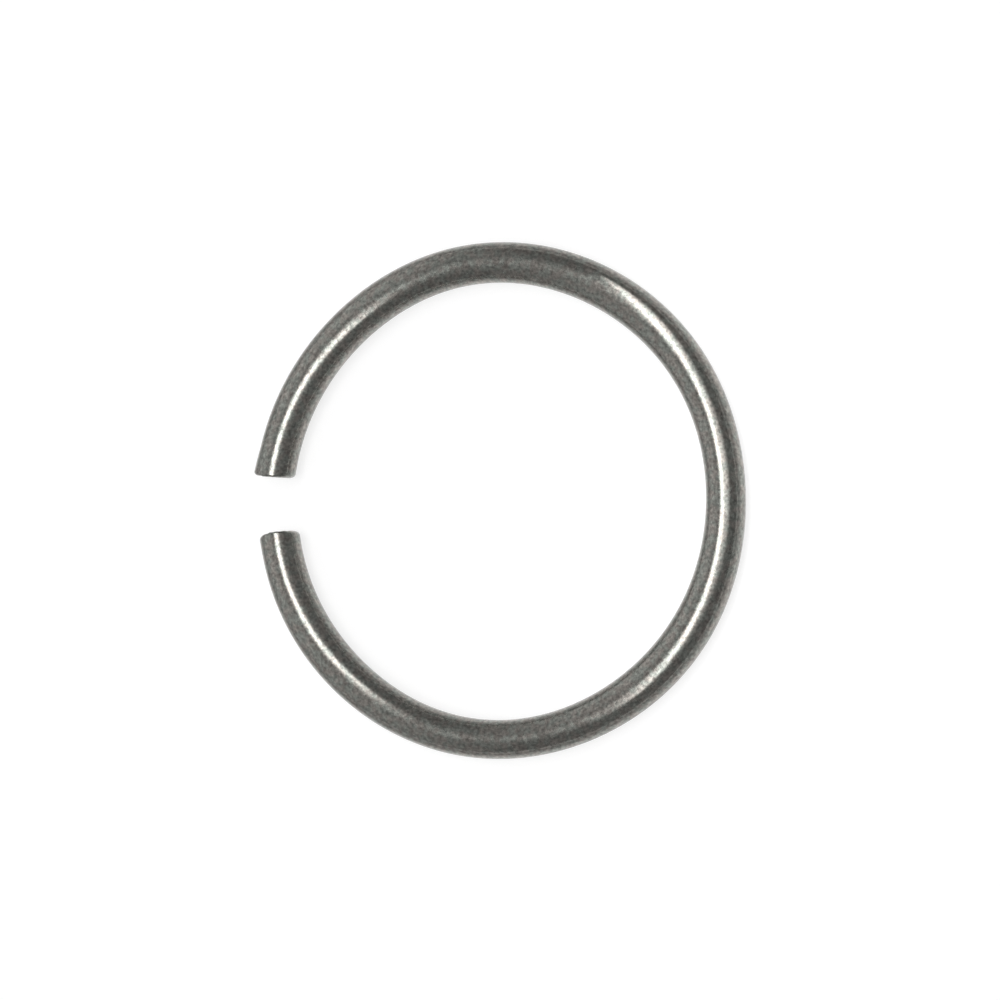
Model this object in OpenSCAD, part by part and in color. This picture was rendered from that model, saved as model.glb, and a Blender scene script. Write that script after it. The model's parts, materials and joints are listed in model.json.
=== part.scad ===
// Retaining ring of round spring-steel wire, for the groove of a shaft.
// Z is the ring's axis, the wire's middle lies in the plane z = 0, and the gap faces -X.

/* [Wire] */
// Diameter of the wire
wire_d = 2.0; // [1:0.1:3]

/* [Ring] */
// Inside diameter of the ring when it is relaxed
inside_d = 21.7; // [16:0.1:40]
// Gap between the middles of the two cropped faces
end_gap = 2.7; // [1:0.1:6]

/* [Sprung leg] */
// Angle from the middle of the ring's back to where the leg above the gap bends less
leg_start = 112; // [90:1:150]
// How much larger the bend radius is in that leg than in the rest of the ring
leg_ease = 0.45; // [0.05:0.05:3]

/* [Cropped ends] */
// Rounding of the rim of each cropped face
rim_r = 0.25; // [0.05:0.05:0.45]
// Slope at which the rim runs out into the side of the wire
rim_slope = 60; // [45:1:75]
// How far the crop of the sprung leg is off square, towards parallel with the X axis
leg_crop_skew = 5; // [0:0.5:10]
// How far the crop of the other leg is off square, towards parallel with the X axis
ring_crop_skew = 1; // [0:0.5:10]

/* [Hidden] */
wire_r = wire_d / 2;
ring_r = inside_d / 2 + wire_r;
leg_r = ring_r + leg_ease;
// The leg's bend has its centre behind the ring's, so that the two bends meet without a kink
leg_centre = (ring_r - leg_r) * [cos(leg_start), sin(leg_start)];
// Angle round a bend at which the middle of the wire lies half the gap from the X axis
function stop_angle(bend_r, centre_y) = 180 - asin((end_gap / 2 - centre_y) / bend_r);
leg_stop = stop_angle(leg_r, leg_centre[1]);
ring_stop = stop_angle(ring_r, 0);
// Wire that runs on past each crop, before it is cut away
spare = end_gap / 4;
wire_sides = 96;
bend_sides = 240;

// A length of wire that starts at X = bend_r and is bent about Z, with the spare at its far end
module bent_wire(bend_r, angle) {
    rotate_extrude(angle = angle + asin(spare / bend_r), $fn = bend_sides)
        translate([bend_r, 0]) circle(r = wire_r, $fn = wire_sides);
}

// The whole length of wire, both bends starting from the place where they meet
module uncropped_wire() {
    rotate([0, 0, leg_start]) {
        mirror([0, 1, 0]) bent_wire(ring_r, leg_start + ring_stop);
        translate([ring_r - leg_r, 0, 0]) bent_wire(leg_r, leg_stop - leg_start);
    }
}

// Half of the section of a cropped end: a flat face on Y = 0, its rounded rim and the slope past it
module end_section() {
    translate([0, -wire_d * 2]) square([wire_r - rim_r, wire_d * 2]);
    translate([wire_r - rim_r, -rim_r]) {
        circle(r = rim_r, $fn = wire_sides);
        rotate(-rim_slope) translate([0, -wire_d * 2]) square([wire_d * 4, wire_d * 2 + rim_r]);
    }
}

// What a crop takes off: all that lies past the face, its rim and its slope
module crop() {
    rotate_extrude($fn = wire_sides)
        difference() {
            translate([0, -wire_d]) square([wire_d, wire_d + end_gap / 2]);
            end_section();
        }
}

// A crop on a bend at an angle, facing on round the bend (1) or back (-1), and turned off square
module crop_on_bend(bend_r, angle, facing, skew) {
    rotate([0, 0, angle]) translate([bend_r, 0, 0])
        rotate([0, 0, skew]) rotate([-90 * facing, 0, 0]) crop();
}

module retaining_ring() {
    color([0.42, 0.42, 0.41]) difference() {
        uncropped_wire();
        crop_on_bend(ring_r, -ring_stop, -1, -ring_crop_skew);
        translate(leg_centre) crop_on_bend(leg_r, leg_stop, 1, leg_crop_skew);
    }
}

retaining_ring();
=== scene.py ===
import json
import math

import bmesh
import bpy
from mathutils import Matrix, Vector, noise


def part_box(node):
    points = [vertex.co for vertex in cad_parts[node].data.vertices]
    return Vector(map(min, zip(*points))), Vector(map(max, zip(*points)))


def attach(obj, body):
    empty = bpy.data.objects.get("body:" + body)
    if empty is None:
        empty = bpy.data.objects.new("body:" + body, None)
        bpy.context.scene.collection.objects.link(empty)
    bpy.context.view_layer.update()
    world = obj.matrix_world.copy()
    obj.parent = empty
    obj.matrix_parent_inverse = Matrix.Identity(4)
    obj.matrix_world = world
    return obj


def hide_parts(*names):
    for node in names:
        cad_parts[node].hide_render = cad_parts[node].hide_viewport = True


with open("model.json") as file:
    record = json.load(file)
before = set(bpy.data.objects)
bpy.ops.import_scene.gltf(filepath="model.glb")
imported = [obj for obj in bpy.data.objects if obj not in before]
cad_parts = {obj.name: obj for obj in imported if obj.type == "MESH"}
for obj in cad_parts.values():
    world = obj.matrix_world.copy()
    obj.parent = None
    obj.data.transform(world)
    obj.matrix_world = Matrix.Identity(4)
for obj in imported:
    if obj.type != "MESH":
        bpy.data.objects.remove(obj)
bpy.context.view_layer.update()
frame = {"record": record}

# Sizes, in metres. The wire and the ring come from the frame, and the cropped faces from the record's mounts
MM = 0.001
RING = "retaining_ring"
low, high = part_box(RING)
WIRE_R = (high.z - low.z) / 2
RING_R = high.x - WIRE_R
MOUNTS = {mount["name"]: mount for mount in frame["record"]["mounts"]}
UP = Vector((0, 0, 1))
AWAY = Vector((0, 1, 0))

# The leg above the gap is sprung slightly open: it is bent to a larger radius from this angle on
LEG_START = math.radians(112)
LEG_EASE = 0.45 * MM

# How finely the wire is modelled
SIDES = 96
STEP_ALONG = 0.25 * MM
RIM_STEPS = 7
RIM_CHECKS = 72
FACE_STEPS = 24
FACE_HUB = 0.03 * MM

# Marks that the shears leave on a cropped end
CRISP_RIM = 0.1 * MM
STEP_EASE = 0.05 * MM
STEP_WANDER = 0.09 * MM
STEP_WANDER_LENGTH = 4 * STEP_WANDER
RECESS_LENGTH = WIRE_R / 2
TORN_GRAIN = 0.22 * MM
TORN_DEPTH = 0.02 * MM

# The wire was coiled a little unevenly: in slow waves round the ring it stands off its true bend, and swells
# to each side. For each wave: how often it comes round, its height, and the angle of one of its peaks
STANDS_OFF = 0.01 * MM
OFF_WAVES = ((2.75, 0.013 * MM, math.radians(-20)), (5.5, 0.022 * MM, math.radians(33)))
SWOLLEN = 0.013 * MM
SWELL_WAVES = ((3, 0.024 * MM, math.radians(-38)), (4, 0.018 * MM, math.radians(-42)))

# Names of what each point of the wire knows about its place: where it would lie on a straight wire, how far
# it is behind the nearest crop, and whether the blade rubbed it bright
STRAIGHT = "straight_wire"
BEHIND = "behind_crop"
RUBBED = "rubbed_bright"
# The crop leaves no mark further behind it than this
FAR_BEHIND = 6 * MM

# The ring's two material slots
WIRE_SKIN = 0
CROPPED = 1

# The map for baking holds the wire in strips, one above another, with the two cropped faces over them
BAKE_MAP = "OFBake"
STRIPS = 3
STRIP_GAP = 0.015
FACE_ROOM = 0.19
FACE_PLACES = (0.2, 0.5)
# Parts of a full turn about the wire: from its outer side to the cut underneath, and half way round
TO_CUT = 0.25
HALF_WAY = 0.5


def smooth_step(start, stop, value):
    """Rises smoothly from 0 at the start to 1 at the stop."""
    share = min(max((value - start) / (stop - start), 0), 1)
    return share * share * (3 - 2 * share)


class Bend:
    """A length of the wire that is bent to one radius about one centre."""

    def __init__(self, centre, radius):
        self.centre = Vector((centre[0], centre[1], 0))
        self.radius = radius

    def angle(self, point):
        return math.atan2(point.y - self.centre.y, point.x - self.centre.x)

    def outward(self, point):
        """The direction away from the bend's centre."""
        return (point - self.centre).xy.normalized().to_3d()

    def straightened(self, point):
        """Where a point would lie on a straight wire: along it from the leg's start, outwards, and up."""
        turn = (self.angle(point) - LEG_START + math.pi) % math.tau - math.pi
        if self is RING_BEND and turn > 0:
            turn -= math.tau
        return Vector((turn * self.radius, (point.xy - self.centre.xy).length - self.radius, point.z))


class CroppedEnd:
    """The place of a cropped face on a bend, and the form that the shears left there."""

    def __init__(self, bend, mount, facing, rims, sunk, step, spread):
        self.bend = bend
        self.face = Vector(MOUNTS[mount]["pos_m"])
        self.normal = Vector(MOUNTS[mount]["axis"]).normalized()
        self.facing = facing
        self.rim_outer, self.rim_inner = rims
        self.sunk = sunk
        self.step_at, self.step_depth = step
        self.spread, self.spread_length = spread

    def rim(self, around):
        """Radius of the rim: round at the outer and the inner side, and crisp at the top and the bottom."""
        share = (1 + math.cos(around)) / 2
        side = self.rim_inner + (self.rim_outer - self.rim_inner) * share
        return side + (CRISP_RIM - side) * math.sin(around) ** 2

    def point(self, around, off_middle, depth):
        """The point that lies so far off the wire's middle, on the bend, and so deep below the face."""
        reach = self.bend.radius + off_middle * math.cos(around)
        ahead = (self.face - self.bend.centre).dot(self.normal) - depth
        turn = math.atan2(self.normal.y, self.normal.x) - self.facing * math.acos(ahead / reach)
        flat = Vector((math.cos(turn), math.sin(turn), 0)) * reach
        return self.bend.centre + flat + Vector((0, 0, off_middle * math.sin(around)))

    def behind(self, point):
        """How far behind the face a point of the wire lies."""
        near = (point - self.face).length < FAR_BEHIND
        return (self.face - point).dot(self.normal) if near else FAR_BEHIND

    def rubbed(self, out, up):
        """1 on the outer part of the face, which the blade rubbed bright, and 0 on the torn part."""
        wander = noise.noise(Vector((up, 0, 0)) / STEP_WANDER_LENGTH) * STEP_WANDER
        return smooth_step(self.step_at - STEP_EASE, self.step_at + STEP_EASE, out + wander)

    def worn(self, point, straight):
        """Where a point goes when the end is pushed back, torn and spread by the shears."""
        behind = self.behind(point)
        rubbed = self.rubbed(straight.y, straight.z)
        torn = noise.noise(straight / TORN_GRAIN) * TORN_DEPTH * (1 - rubbed)
        recess = (self.sunk + self.step_depth * rubbed + torn) * (1 - smooth_step(0, RECESS_LENGTH, behind))
        spread = self.spread * smooth_step(self.spread_length, 0, behind) * (1 + straight.y / WIRE_R) / 2
        return point - self.normal * recess + self.bend.outward(point) * spread


RING_BEND = Bend((0, 0), RING_R)
LEG_BEND = Bend((-LEG_EASE * math.cos(LEG_START), -LEG_EASE * math.sin(LEG_START)), RING_R + LEG_EASE)
LEG_END = CroppedEnd(
    LEG_BEND, "end_face_sprung_leg", 1, rims=(0.25 * MM, 0.25 * MM), sunk=0.02 * MM,
    step=(0.33 * MM, 0.035 * MM), spread=(0.1 * MM, 1.7 * MM))
RING_END = CroppedEnd(
    RING_BEND, "end_face_other_leg", -1, rims=(0.4 * MM, 0.32 * MM), sunk=0.04 * MM,
    step=(0.23 * MM, 0.045 * MM), spread=(0.03 * MM, 1.2 * MM))
ENDS = (LEG_END, RING_END)


def bend_of(point):
    """The bend on which a point of the wire lies. The legs part in the middle of the gap."""
    turn = (math.atan2(point.y, point.x) - LEG_START) % math.tau
    return LEG_BEND if turn < math.pi - LEG_START else RING_BEND


def in_waves(turn, waves):
    """How high slow waves that run round the ring stand together at an angle."""
    return sum(height * math.cos(count * (turn - peak)) for count, height, peak in waves)


def unevenness(point, straight):
    """How far the coiling moved a point of the wire outwards: as its middle did, and as the wire swelled."""
    turn = math.atan2(point.y, point.x)
    off_bend = STANDS_OFF + in_waves(turn, OFF_WAVES)
    swollen = SWOLLEN + in_waves(turn, SWELL_WAVES)
    return off_bend + swollen * straight.y / WIRE_R


def of_kind(kind, geometry):
    return [item for item in geometry if isinstance(item, kind)]


def bend_wire(bm, section, bend, turn):
    """Carries a section round a bend and gives back the section at the far end."""
    steps = round(abs(turn) * bend.radius / STEP_ALONG)
    made = bmesh.ops.spin(
        bm, geom=section, cent=bend.centre, axis=UP, angle=turn, steps=steps,
        use_merge=False, use_duplicate=False)
    return of_kind(bmesh.types.BMEdge, made["geom_last"])


def lengthen(bm, section, end, off_middle, depth, material):
    """Draws the last section on, to a distance off the wire's middle and a depth below the face."""
    made = bmesh.ops.extrude_edge_only(bm, edges=section)["geom"]
    for face in of_kind(bmesh.types.BMFace, made):
        face.material_index = material
    for vert in of_kind(bmesh.types.BMVert, made):
        straight = end.bend.straightened(vert.co)
        around = math.atan2(straight.z, straight.y)
        vert.co = end.point(around, off_middle(around), depth(around))
    return of_kind(bmesh.types.BMEdge, made)


def close_end(bm, section, end):
    """Rounds the rim of a cropped end and closes its face, loop by loop."""
    for step in range(RIM_STEPS + 1):
        tip = math.pi / 2 * step / RIM_STEPS
        section = lengthen(
            bm, section, end,
            lambda around: WIRE_R - end.rim(around) * (1 - math.cos(tip)),
            lambda around: end.rim(around) * (1 - math.sin(tip)),
            WIRE_SKIN if step < RIM_STEPS else CROPPED)
    for step in range(1, FACE_STEPS + 1):
        share = step / FACE_STEPS
        section = lengthen(
            bm, section, end,
            lambda around: (WIRE_R - end.rim(around)) * (1 - share) + FACE_HUB * share,
            lambda around: 0,
            CROPPED)
    hub = bmesh.ops.edgeloop_fill(bm, edges=section, mat_nr=CROPPED)["faces"]
    bmesh.ops.poke(bm, faces=hub)


def note_places(bm):
    """Writes on each point its place on a straight wire, and moves it as the coiling and the shears did."""
    straight_wire = bm.verts.layers.float_vector.new(STRAIGHT)
    behind_crop = bm.verts.layers.float.new(BEHIND)
    rubbed_bright = bm.verts.layers.float.new(RUBBED)
    for vert in bm.verts:
        bend = bend_of(vert.co)
        straight = bend.straightened(vert.co)
        vert[straight_wire] = straight
        end = min(ENDS, key=lambda end: (vert.co - end.face).length)
        vert[behind_crop] = end.behind(vert.co)
        vert[rubbed_bright] = end.rubbed(straight.y, straight.z)
        coiled = bend.outward(vert.co) * unevenness(vert.co, straight)
        if vert[behind_crop] < FAR_BEHIND:
            vert.co = end.worn(vert.co, straight)
        vert.co += coiled


def lay_out_strips(bm):
    """Lays the wire's skin out in strips that are cut open underneath, and the cropped faces flat."""
    bake = bm.loops.layers.uv.new(BAKE_MAP)
    straight_wire = bm.verts.layers.float_vector[STRAIGHT]
    places = [vert[straight_wire].x for vert in bm.verts]
    start, length = min(places), (max(places) - min(places)) / STRIPS
    height = math.tau * WIRE_R / length
    for face in bm.faces:
        rows = [loop.vert[straight_wire] for loop in face.loops]
        along = sum(row.x for row in rows) / len(rows)
        if face.material_index == CROPPED:
            middle = FACE_PLACES[along > 0]
            for loop, row in zip(face.loops, rows):
                flat = row.yz / WIRE_R * FACE_ROOM / 2
                loop[bake].uv = (middle + flat.x, 1 - FACE_ROOM / 2 + flat.y)
            continue
        strip = min(int((along - start) / length), STRIPS - 1)
        rounds = [(math.atan2(row.z, row.y) / math.tau + TO_CUT) % 1 for row in rows]
        for loop, row, share in zip(face.loops, rows, rounds):
            if max(rounds) - share > HALF_WAY:
                share += 1
            across = ((row.x - start) / length - strip) * (1 - 2 * STRIP_GAP) + STRIP_GAP
            loop[bake].uv = (across, (strip + share * (1 - STRIP_GAP)) * height)


def clear_turn(end):
    """How far the wire is bent before its rim: to half a step short of it, all the way round the wire."""
    clear = max(end.rim_outer, end.rim_inner) + STEP_ALONG / 2
    rim_points = [end.point(math.tau * check / RIM_CHECKS, WIRE_R, clear) for check in range(RIM_CHECKS)]
    return min(end.facing * (end.bend.angle(point) - LEG_START) % math.tau for point in rim_points)


def wire_mesh():
    """The whole wire: both bends from the section where they meet, and the two cropped ends."""
    bm = bmesh.new()
    meeting = Matrix.Rotation(LEG_START, 4, "Z") @ Matrix.Translation((RING_R, 0, 0))
    upright = Matrix.Rotation(math.pi / 2, 4, "X")
    bmesh.ops.create_circle(bm, cap_ends=False, segments=SIDES, radius=WIRE_R, matrix=meeting @ upright)
    section = list(bm.edges)
    for end in ENDS:
        last = bend_wire(bm, section, end.bend, end.facing * clear_turn(end))
        close_end(bm, last, end)
    note_places(bm)
    bmesh.ops.recalc_face_normals(bm, faces=bm.faces)
    lay_out_strips(bm)
    return bm


def link(tree, source, target):
    """Joins two sockets of a node tree. A plain number, colour or vector is set on the target instead."""
    if isinstance(source, bpy.types.NodeSocket):
        tree.links.new(source, target)
    else:
        target.default_value = source


def maths(tree, operation, *inputs, clamp=False):
    node = tree.nodes.new("ShaderNodeMath")
    node.operation = operation
    node.use_clamp = clamp
    for value, socket in zip(inputs, node.inputs):
        link(tree, value, socket)
    return node.outputs[0]


def smooth_range(tree, value, from_low, from_high, to_low=0.0, to_high=1.0):
    """Maps a value smoothly from one range to another, and holds it at the ends."""
    node = tree.nodes.new("ShaderNodeMapRange")
    node.interpolation_type = "SMOOTHSTEP"
    for item, socket in zip((value, from_low, from_high, to_low, to_high), node.inputs):
        link(tree, item, socket)
    return node.outputs[0]


def scaled(tree, place, factors):
    """A place whose three axes are each multiplied by a factor of their own."""
    node = tree.nodes.new("ShaderNodeVectorMath")
    node.operation = "MULTIPLY"
    link(tree, place, node.inputs[0])
    link(tree, factors, node.inputs[1])
    return node.outputs[0]


# Noise runs from 0 to 1 about its middle. Plain noise is soft, and fine noise holds smaller noise
MIDDLE = 0.5
PLAIN_DETAIL = 1.0
PLAIN_ROUGH = 0.5
FINE_DETAIL = 2.0
FINE_ROUGH = 0.6


def noise_at(tree, place, detail=PLAIN_DETAIL, rough=PLAIN_ROUGH):
    """Noise about one unit in size, from 0 to 1."""
    node = tree.nodes.new("ShaderNodeTexNoise")
    link(tree, place, node.inputs["Vector"])
    link(tree, 1.0, node.inputs["Scale"])
    link(tree, detail, node.inputs["Detail"])
    link(tree, rough, node.inputs["Roughness"])
    return node.outputs["Fac"]


def mixed(tree, share, first, second, blend="MIX"):
    node = tree.nodes.new("ShaderNodeMix")
    node.data_type = "RGBA"
    node.blend_type = blend
    colours = [socket for socket in node.inputs if socket.type == "RGBA"]
    link(tree, share, node.inputs[0])
    link(tree, first, colours[0])
    link(tree, second, colours[1])
    return next(socket for socket in node.outputs if socket.type == "RGBA")


def written(tree, name, output="Fac"):
    """What the wire's points know by this name."""
    node = tree.nodes.new("ShaderNodeAttribute")
    node.attribute_name = name
    return node.outputs[output]


# Finish of the bare wire
STEEL_DARK = (0.164, 0.161, 0.15, 1)
STEEL_LIGHT = (0.39, 0.385, 0.357, 1)
WARM = (1.04, 0.99, 0.98, 1)
COOL = (0.96, 1.01, 1.0, 1)
SPECK_CONTRAST = 2.3
# The pits are twice as large as the specks, and mirrored along the wire so that the two don't fall together
PIT_FACTORS = (-0.5, 0.5, 0.5)
PITS_FROM = 0.6
PITS_TO = 0.74
PIT_DEPTH = 0.15
PIT_DARK = 0.2
GRAIN_SIZE = 0.15 * MM
GRAIN_DRAWN_OUT = 1.1
GRAIN_DEPTH = 0.001 * MM
DRAW_LINE_WIDTH = 0.12 * MM
DRAW_LINE_LENGTH = 30
DRAW_LINE_DARK = 0.06
DRAW_LINE_DEPTH = 0.03
MOTTLE_SIZE = 0.4 * MM
TINT_FROM = 0.35
TINT_TO = 0.65
SHEEN_FROM = 0.3
SHEEN_TO = 0.7
WIRE_ROUGH_FROM = 0.17
WIRE_ROUGH_TO = 0.22
PIT_ROUGH = 0.08
# Dark scuffs where the tool held the wire, slanted across it
SCUFF_LENGTH = 1.6 * MM
SCUFF_SLANT = 0.8
SCUFF_WIDTH = 0.14 * MM
SCUFF_DRAWN_OUT = 6.0
SCUFF_DARK = 0.5
SCUFF_DEPTH = 1.0

# Finish of the cropped faces
TORN_SIZE = 0.12 * MM
TORN_DRAWN_OUT = 1.0
TORN_BUMP = 0.02 * MM
TORN_ROUGH = 0.38
RUB_LINE_WIDTH = 0.05 * MM
RUB_LINE_LENGTH = 12.0
RUB_BUMP = 0.15
RUBBED_ROUGH = 0.24
TORN_DARK = 0.2


def make_grain_group():
    """Steel's fine grain: light and dark specks, small pits, and the height of both."""
    tree = bpy.data.node_groups.new("steel_grain", "ShaderNodeTree")
    tree.interface.new_socket("Place", in_out="INPUT", socket_type="NodeSocketVector")
    tree.interface.new_socket("Grain Size", in_out="INPUT", socket_type="NodeSocketFloat")
    tree.interface.new_socket("Drawn Out", in_out="INPUT", socket_type="NodeSocketFloat")
    for name in ("Specks", "Pits", "Height"):
        tree.interface.new_socket(name, in_out="OUTPUT", socket_type="NodeSocketFloat")
    given = tree.nodes.new("NodeGroupInput").outputs
    result = tree.nodes.new("NodeGroupOutput").inputs
    across = maths(tree, "DIVIDE", 1.0, given["Grain Size"])
    along = maths(tree, "DIVIDE", across, given["Drawn Out"])
    factors = tree.nodes.new("ShaderNodeCombineXYZ")
    for source, socket in zip((along, across, across), factors.inputs):
        link(tree, source, socket)
    place = scaled(tree, given["Place"], factors.outputs[0])
    specks = noise_at(tree, place, FINE_DETAIL, FINE_ROUGH)
    pits = smooth_range(tree, noise_at(tree, scaled(tree, place, PIT_FACTORS)), PITS_FROM, PITS_TO)
    link(tree, specks, result["Specks"])
    link(tree, pits, result["Pits"])
    link(tree, maths(tree, "MULTIPLY_ADD", pits, -PIT_DEPTH, specks), result["Height"])
    return tree


def grain(tree, steel_grain, place, size, drawn_out):
    """The specks, the pits and the height of steel's grain at a place."""
    node = tree.nodes.new("ShaderNodeGroup")
    node.node_tree = steel_grain
    link(tree, place, node.inputs["Place"])
    link(tree, size, node.inputs["Grain Size"])
    link(tree, drawn_out, node.inputs["Drawn Out"])
    return node.outputs["Specks"], node.outputs["Pits"], node.outputs["Height"]


def bumped(tree, height, depth):
    node = tree.nodes.new("ShaderNodeBump")
    link(tree, height, node.inputs["Height"])
    link(tree, depth, node.inputs["Distance"])
    return node.outputs["Normal"]


def steel_colour(tree, light, mottle):
    """Steel's colour from dark to light, slightly warm in one place and cool in another."""
    plain = mixed(tree, light, STEEL_DARK, STEEL_LIGHT)
    tint = mixed(tree, smooth_range(tree, mottle, TINT_FROM, TINT_TO), WARM, COOL)
    return mixed(tree, 1.0, plain, tint, "MULTIPLY")


def bare_wire_steel(steel_grain):
    """The drawn skin of the wire: fine grain, small pits, faint draw lines, and scuffs behind each crop."""
    material = bpy.data.materials.new("bare_spring_steel")
    material.use_nodes = True
    tree = material.node_tree
    surface = tree.nodes["Principled BSDF"]
    place = written(tree, STRAIGHT, "Vector")
    specks, pits, height = grain(tree, steel_grain, place, GRAIN_SIZE, GRAIN_DRAWN_OUT)
    mottle = noise_at(tree, scaled(tree, place, [1 / MOTTLE_SIZE] * 3))
    across = 1 / DRAW_LINE_WIDTH
    lines = noise_at(tree, scaled(tree, place, (across / DRAW_LINE_LENGTH, across, across)))
    lines = maths(tree, "SUBTRACT", lines, MIDDLE)
    slanted = tree.nodes.new("ShaderNodeVectorRotate")
    slanted.rotation_type = "Z_AXIS"
    link(tree, place, slanted.inputs["Vector"])
    link(tree, SCUFF_SLANT, slanted.inputs["Angle"])
    across = 1 / SCUFF_WIDTH
    scuffs = noise_at(tree, scaled(tree, slanted.outputs[0], (across / SCUFF_DRAWN_OUT, across, across)))
    near = smooth_range(tree, written(tree, BEHIND), 0.0, SCUFF_LENGTH, 1.0, 0.0)
    scuffs = maths(tree, "MULTIPLY", maths(tree, "SUBTRACT", scuffs, MIDDLE), near)
    light = maths(tree, "MULTIPLY_ADD", maths(tree, "SUBTRACT", specks, MIDDLE), SPECK_CONTRAST, MIDDLE)
    light = maths(tree, "MULTIPLY_ADD", lines, DRAW_LINE_DARK, light)
    light = maths(tree, "MULTIPLY_ADD", scuffs, SCUFF_DARK, light)
    light = maths(tree, "MULTIPLY_ADD", pits, -PIT_DARK, light, clamp=True)
    link(tree, steel_colour(tree, light, mottle), surface.inputs["Base Color"])
    rough = smooth_range(tree, mottle, SHEEN_FROM, SHEEN_TO, WIRE_ROUGH_FROM, WIRE_ROUGH_TO)
    link(tree, maths(tree, "MULTIPLY_ADD", pits, PIT_ROUGH, rough), surface.inputs["Roughness"])
    height = maths(tree, "MULTIPLY_ADD", lines, DRAW_LINE_DEPTH, height)
    height = maths(tree, "MULTIPLY_ADD", scuffs, SCUFF_DEPTH, height)
    link(tree, bumped(tree, height, GRAIN_DEPTH), surface.inputs["Normal"])
    link(tree, 1.0, surface.inputs["Metallic"])
    return material


def cropped_steel(steel_grain):
    """The face of a crop: lines where the blade rubbed, and a coarse grain where the wire tore."""
    material = bpy.data.materials.new("cropped_spring_steel")
    material.use_nodes = True
    tree = material.node_tree
    surface = tree.nodes["Principled BSDF"]
    place = written(tree, STRAIGHT, "Vector")
    rubbed = written(tree, RUBBED)
    torn = maths(tree, "SUBTRACT", 1.0, rubbed)
    specks, pits, height = grain(tree, steel_grain, place, TORN_SIZE, TORN_DRAWN_OUT)
    across = 1 / RUB_LINE_WIDTH
    lines = noise_at(tree, scaled(tree, place, (across, across / RUB_LINE_LENGTH, across)), FINE_DETAIL)
    mottle = noise_at(tree, scaled(tree, place, [1 / MOTTLE_SIZE] * 3))
    light = maths(tree, "MULTIPLY_ADD", torn, -TORN_DARK, maths(tree, "ADD", lines, specks))
    light = maths(tree, "SUBTRACT", light, MIDDLE)
    light = maths(tree, "MULTIPLY_ADD", pits, -PIT_DARK, light, clamp=True)
    link(tree, steel_colour(tree, light, mottle), surface.inputs["Base Color"])
    link(tree, smooth_range(tree, rubbed, 0.0, 1.0, TORN_ROUGH, RUBBED_ROUGH), surface.inputs["Roughness"])
    height = maths(tree, "MULTIPLY", height, torn)
    height = maths(tree, "MULTIPLY_ADD", lines, RUB_BUMP, height)
    link(tree, bumped(tree, height, TORN_BUMP), surface.inputs["Normal"])
    link(tree, 1.0, surface.inputs["Metallic"])
    return material


def make_ring():
    bm = wire_mesh()
    mesh = bpy.data.meshes.new("snap_ring")
    bm.to_mesh(mesh)
    bm.free()
    for polygon in mesh.polygons:
        polygon.use_smooth = True
    steel_grain = make_grain_group()
    mesh.materials.append(bare_wire_steel(steel_grain))
    mesh.materials.append(cropped_steel(steel_grain))
    ring = bpy.data.objects.new("snap_ring", mesh)
    bpy.context.scene.collection.objects.link(ring)
    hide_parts(RING)
    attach(ring, "root")


# Camera: it looks down on the ring, leaning towards the side across from the gap
CAMERA_LEAN = math.radians(20.1)
CAMERA_SIDE = math.radians(-5.2)
CAMERA_ROLL = math.radians(4.6)
CAMERA_DISTANCE = 400 * MM
SENSOR = 36.0
FRAME_WIDTH = 49.74 * MM
AIM_RIGHT = -0.001 * MM
AIM_UP = 0.047 * MM
CLIP_RANGE = 100


def place_camera():
    camera = bpy.data.objects.new("camera", bpy.data.cameras.new("camera"))
    bpy.context.scene.collection.objects.link(camera)
    turn = (
        Matrix.Rotation(CAMERA_SIDE, 3, "Z")
        @ Matrix.Rotation(CAMERA_LEAN, 3, "Y")
        @ Matrix.Rotation(CAMERA_ROLL, 3, "Z"))
    aim = turn @ Vector((AIM_RIGHT, AIM_UP, CAMERA_DISTANCE))
    camera.matrix_world = Matrix.Translation(aim) @ turn.to_4x4()
    camera.data.sensor_width = SENSOR
    camera.data.lens = SENSOR * CAMERA_DISTANCE / FRAME_WIDTH
    camera.data.clip_start = CAMERA_DISTANCE / CLIP_RANGE
    camera.data.clip_end = CAMERA_DISTANCE * CLIP_RANGE
    bpy.context.scene.camera = camera


WHITE = (1, 1, 1, 1)

# Studio floor: flat white paper that turns up at its far rim
FLOOR_FLAT = 0.55
FLOOR_RIM_R = 0.62
FLOOR_RIM_H = 0.07
FLOOR_SIDES = 64
FLOOR_FLAT_STEPS = 2
FLOOR_BEND_STEPS = 12
FLOOR_WELD = 0.01 * MM
FLOOR_COLOUR = (0.3, 0.3, 0.3, 1)
FLOOR_ROUGH = 0.5
FLOOR_GLOW = 0.78
# The steel mirrors the paper's glow less where it lies far off and is seen at a low angle
GLANCE_GLOW = 0.2
GLANCE_FROM = 0.15
GLANCE_TO = 0.65


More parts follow.
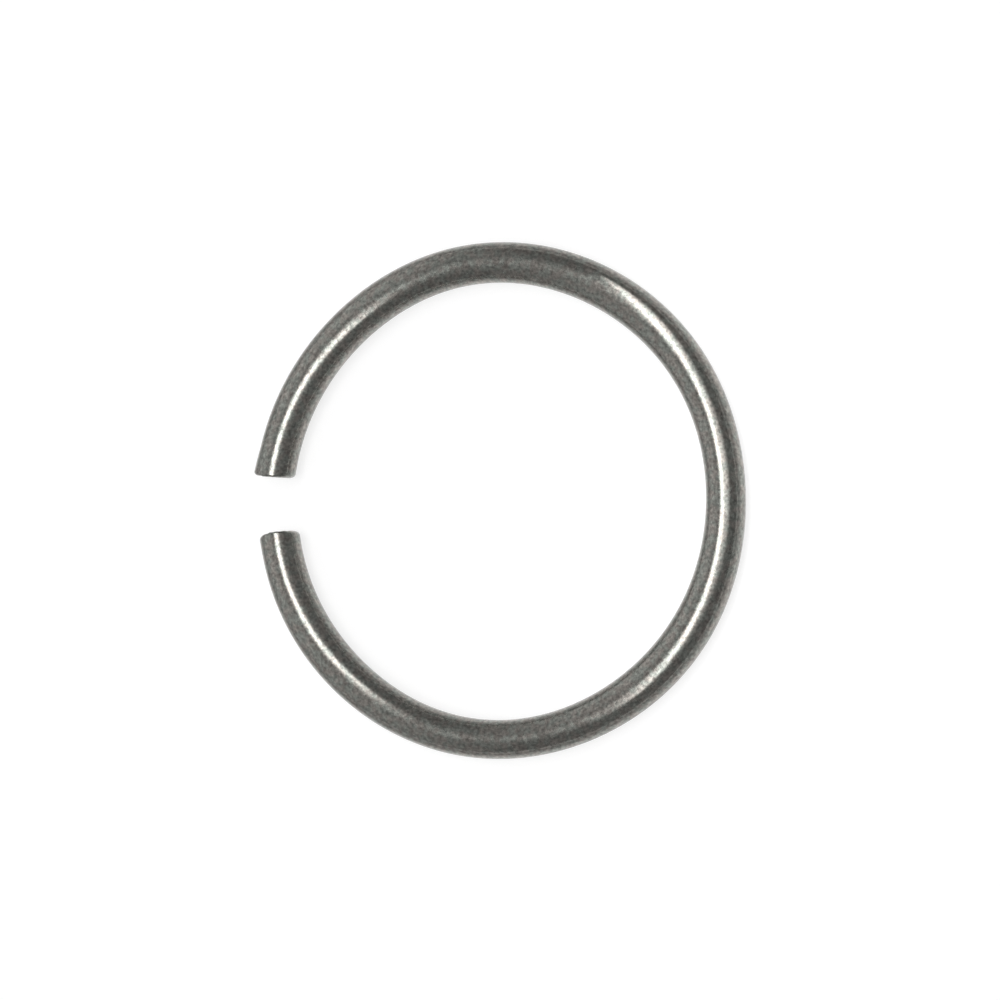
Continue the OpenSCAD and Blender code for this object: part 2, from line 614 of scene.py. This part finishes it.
def make_floor():
    bm = bmesh.new()
    outline = []
    for step in range(FLOOR_FLAT_STEPS + 1):
        outline.append(bm.verts.new((FLOOR_FLAT * step / FLOOR_FLAT_STEPS, 0, low.z)))
    for step in range(1, FLOOR_BEND_STEPS + 1):
        turn = math.pi / 2 * step / FLOOR_BEND_STEPS
        reach = FLOOR_FLAT + (FLOOR_RIM_R - FLOOR_FLAT) * math.sin(turn)
        outline.append(bm.verts.new((reach, 0, low.z + FLOOR_RIM_H * (1 - math.cos(turn)))))
    edges = [bm.edges.new(pair) for pair in zip(outline, outline[1:])]
    bmesh.ops.spin(
        bm, geom=outline + edges, cent=(0, 0, 0), axis=UP, angle=math.tau, steps=FLOOR_SIDES,
        use_merge=True)
    bmesh.ops.remove_doubles(bm, verts=bm.verts, dist=FLOOR_WELD)
    bmesh.ops.recalc_face_normals(bm, faces=bm.faces)
    mesh = bpy.data.meshes.new("floor")
    bm.to_mesh(mesh)
    bm.free()
    for polygon in mesh.polygons:
        polygon.use_smooth = True
    mesh.materials.append(white_paper())
    floor = bpy.data.objects.new("floor", mesh)
    bpy.context.scene.collection.objects.link(floor)


def white_paper():
    """Plain paper that takes the ring's shadow and looks white to the camera and in the steel."""
    material = bpy.data.materials.new("white_paper")
    material.use_nodes = True
    tree = material.node_tree
    surface = tree.nodes["Principled BSDF"]
    link(tree, FLOOR_COLOUR, surface.inputs["Base Color"])
    link(tree, FLOOR_ROUGH, surface.inputs["Roughness"])
    link(tree, WHITE, surface.inputs["Emission Color"])
    rays = tree.nodes.new("ShaderNodeLightPath")
    glancing = tree.nodes.new("ShaderNodeLayerWeight").outputs["Facing"]
    axes = tree.nodes.new("ShaderNodeSeparateXYZ")
    link(tree, tree.nodes.new("ShaderNodeNewGeometry").outputs["Normal"], axes.inputs[0])
    steep = maths(tree, "SUBTRACT", 1.0, glancing)
    steep = maths(tree, "MULTIPLY", steep, maths(tree, "ABSOLUTE", axes.outputs["Z"]))
    mirrored = smooth_range(tree, steep, GLANCE_FROM, GLANCE_TO, GLANCE_GLOW, FLOOR_GLOW)
    mirrored = maths(tree, "MULTIPLY", rays.outputs["Is Glossy Ray"], mirrored)
    seen = maths(tree, "MAXIMUM", rays.outputs["Is Camera Ray"], rays.outputs["Is Transmission Ray"])
    seen = maths(tree, "MULTIPLY", seen, FLOOR_GLOW)
    link(tree, maths(tree, "MAXIMUM", seen, mirrored), surface.inputs["Emission Strength"])
    return material


# Studio light: a plain sky, lighter on the side of the gap and less light in front
SKY_LIGHT = 0.82
SKY_LIGHT_FRONT = 0.5
GLOW_FADE_FROM = -0.8
GLOW_FADE_TO = 0.1
SKY_DARK = 0.275
SKY_FROM = -0.85
SKY_TO = -0.135
# One soft bright panel, on a flat ceiling one unit above the ring: its left edge is bent, with the point
# at the left, and it fades to the right, in a bright core and a weaker tail
PANEL_LEFT = -0.215
PANEL_SLANT_FAR = 0.375
PANEL_SLANT_NEAR = 0.48
PANEL_SOFT = 0.1
PANEL_CORE = -0.045
PANEL_RIGHT = 0.28
PANEL_TAIL = 0.05
PANEL_TAIL_END = 1.0
PANEL_FAR = 0.46
PANEL_FAR_END = 0.9
PANEL_NEAR = -0.6
PANEL_NEAR_END = -0.74
PANEL_STRENGTH = 5.6
LOWEST_CEILING = 0.05
# Two small strip lights with a grid hang close over the right limb, and only that limb sees through
# their grids. For each: its middle, its size, where it points and its strength
STRIP_LIGHTS = (
    ((13.1 * MM, 14.9 * MM, 15.2 * MM), (12.1 * MM, 24 * MM), (0, -0.87, -1), 5.5),
    ((17.1 * MM, 2 * MM, 12 * MM), (10.5 * MM, 26 * MM), (-0.34, -0.11, -1), 1.95))
STRIP_LIGHT_GRID = 0.5


def make_sky():
    world = bpy.data.worlds.new("studio_sky")
    bpy.context.scene.world = world
    world.use_nodes = True
    tree = world.node_tree
    axes = tree.nodes.new("ShaderNodeSeparateXYZ")
    link(tree, tree.nodes.new("ShaderNodeTexCoord").outputs["Generated"], axes.inputs[0])
    x, y, z = axes.outputs
    glow = smooth_range(tree, y, GLOW_FADE_FROM, GLOW_FADE_TO, SKY_LIGHT_FRONT, SKY_LIGHT)
    plain = smooth_range(tree, x, SKY_FROM, SKY_TO, glow, SKY_DARK)
    up = maths(tree, "MAXIMUM", z, LOWEST_CEILING)
    across = maths(tree, "DIVIDE", x, up)
    along = maths(tree, "DIVIDE", y, up)
    slanted = maths(
        tree, "MAXIMUM",
        maths(tree, "MULTIPLY", along, PANEL_SLANT_FAR),
        maths(tree, "MULTIPLY", along, -PANEL_SLANT_NEAR))
    edge = maths(tree, "ADD", slanted, PANEL_LEFT)
    left = smooth_range(tree, maths(tree, "SUBTRACT", across, edge), -PANEL_SOFT, PANEL_SOFT)
    core = smooth_range(tree, across, PANEL_CORE, PANEL_RIGHT, 1.0, 0.0)
    tail = smooth_range(tree, across, PANEL_CORE, PANEL_TAIL_END, PANEL_TAIL, 0.0)
    far = smooth_range(tree, along, PANEL_FAR, PANEL_FAR_END, 1.0, 0.0)
    near = smooth_range(tree, along, PANEL_NEAR_END, PANEL_NEAR)
    panel = maths(tree, "MULTIPLY", maths(tree, "MAXIMUM", core, tail), left)
    panel = maths(tree, "MULTIPLY", maths(tree, "MULTIPLY", panel, far), near)
    panel = maths(tree, "MULTIPLY", panel, PANEL_STRENGTH)
    background = tree.nodes["Background"]
    link(tree, WHITE, background.inputs["Color"])
    link(tree, maths(tree, "ADD", plain, panel), background.inputs["Strength"])


def make_strip_light(middle, size, towards, strength):
    """An area lamp whose power gives the wanted strength in the middle of the opening of its grid."""
    lamp = bpy.data.lights.new("strip_light", "AREA")
    lamp.shape = "RECTANGLE"
    lamp.size, lamp.size_y = size
    opening = math.atan(STRIP_LIGHT_GRID)
    lamp.spread = 2 * opening
    gain = STRIP_LIGHT_GRID / (STRIP_LIGHT_GRID - opening)
    lamp.energy = strength * math.pi * lamp.size * lamp.size_y / gain
    strip = bpy.data.objects.new("strip_light", lamp)
    back = -Vector(towards).normalized()
    right = AWAY.cross(back).normalized()
    turn = Matrix((right, back.cross(right), back)).transposed()
    strip.matrix_world = Matrix.Translation(middle) @ turn.to_4x4()
    strip.visible_camera = False
    bpy.context.scene.collection.objects.link(strip)


make_ring()
place_camera()
make_floor()
make_sky()
for strip_light in STRIP_LIGHTS:
    make_strip_light(*strip_light)
bpy.context.scene.view_settings.view_transform = "Standard"
